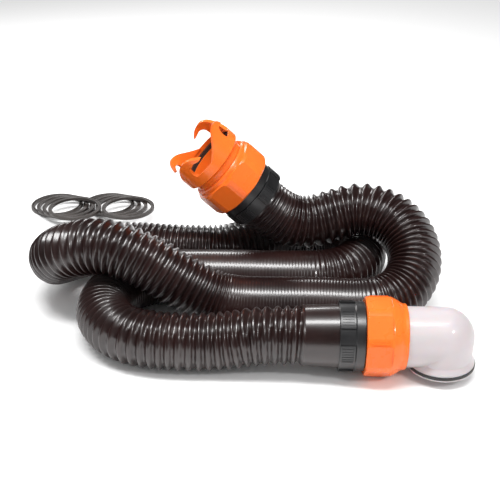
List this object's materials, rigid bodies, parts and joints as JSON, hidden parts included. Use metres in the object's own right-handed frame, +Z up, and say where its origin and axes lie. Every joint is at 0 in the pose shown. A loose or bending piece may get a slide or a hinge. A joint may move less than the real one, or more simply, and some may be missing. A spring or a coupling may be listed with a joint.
{
  "type": "sewer hose kit",
  "caption": "Folded ribbed drain hose with a swivel bayonet fitting, a swivel lock collar with a clear elbow, and spare bayonet gaskets.",
  "frame": {"origin": "middle of the whole kit's footprint, on the floor that it lies on", "axes": "+Z up; +X along the elbow's run of hose, towards the elbow; +Y from the elbow's run towards the gaskets"},
  "size_m": [0.7699, 0.6924, 0.2931],
  "materials": {
    "hose_vinyl": "glossy ribbed vinyl, dark brown-black",
    "black_plastic": "satin moulded black",
    "seal_rubber": "matte black",
    "orange_plastic": "glossy moulded orange",
    "clear_plastic": "clear, slightly milky",
    "gasket_rubber": "satin moulded, dark brown-black"
  },
  "bodies": {
    "hose_body": {"hose": "hose_vinyl", "cuff_a": "hose_vinyl", "cuff_b": "hose_vinyl", "collar_a": "black_plastic", "collar_b": "black_plastic", "oring_a": "seal_rubber", "oring_b": "seal_rubber"},
    "bayonet": {"bayonet_grip": "orange_plastic", "bayonet_head": "orange_plastic", "bayonet_seal": "seal_rubber"},
    "lock_collar": {"lock_grip": "orange_plastic", "elbow_seal": "seal_rubber"},
    "elbow_body": {"elbow": "clear_plastic", "outlet_seal": "seal_rubber"},
    "ring_1": {"gasket_1": "gasket_rubber"},
    "ring_2": {"gasket_2": "gasket_rubber"},
    "ring_3": {"gasket_3": "gasket_rubber"},
    "ring_4": {"gasket_4": "gasket_rubber"},
    "ring_5": {"gasket_5": "gasket_rubber"},
    "ring_6": {"gasket_6": "gasket_rubber"},
    "ring_7": {"gasket_7": "gasket_rubber"},
    "ring_8": {"gasket_8": "gasket_rubber"}
  },
  "joints": [
    {"name": "bayonet_swivel", "type": "hinge", "parent": "hose_body", "child": "bayonet", "pos_m": [0.04187, -0.03334, 0.18261], "axis": [-0.7249, -0.0591, 0.6863], "continuous": true},
    {"name": "lock_swivel", "type": "hinge", "parent": "hose_body", "child": "lock_collar", "pos_m": [0.22001, -0.28768, 0.0585], "axis": [0.9996, -0.0268, 0], "continuous": true},
    {"name": "elbow_twist", "type": "hinge", "parent": "lock_collar", "child": "elbow_body", "pos_m": [0.22001, -0.28768, 0.0585], "axis": [-0.9996, 0.0268, 0], "range_deg": [0, 30]},
    {"name": "ring_1_slide", "type": "slide", "parent": "hose_body", "child": "ring_1", "axis": [0, 1, 0], "range_m": [0, 0.12]},
    {"name": "ring_2_slide", "type": "slide", "parent": "hose_body", "child": "ring_2", "axis": [0, 1, 0], "range_m": [0, 0.12]},
    {"name": "ring_3_slide", "type": "slide", "parent": "hose_body", "child": "ring_3", "axis": [0, 1, 0], "range_m": [0, 0.12]},
    {"name": "ring_4_slide", "type": "slide", "parent": "hose_body", "child": "ring_4", "axis": [0, 1, 0], "range_m": [0, 0.12]},
    {"name": "ring_5_slide", "type": "slide", "parent": "hose_body", "child": "ring_5", "axis": [0, 1, 0], "range_m": [0, 0.12]},
    {"name": "ring_6_slide", "type": "slide", "parent": "hose_body", "child": "ring_6", "axis": [0, 1, 0], "range_m": [0, 0.12]},
    {"name": "ring_7_slide", "type": "slide", "parent": "hose_body", "child": "ring_7", "axis": [0, 1, 0], "range_m": [0, 0.12]},
    {"name": "ring_8_slide", "type": "slide", "parent": "hose_body", "child": "ring_8", "axis": [0, 1, 0], "range_m": [0, 0.12]}
  ]
}
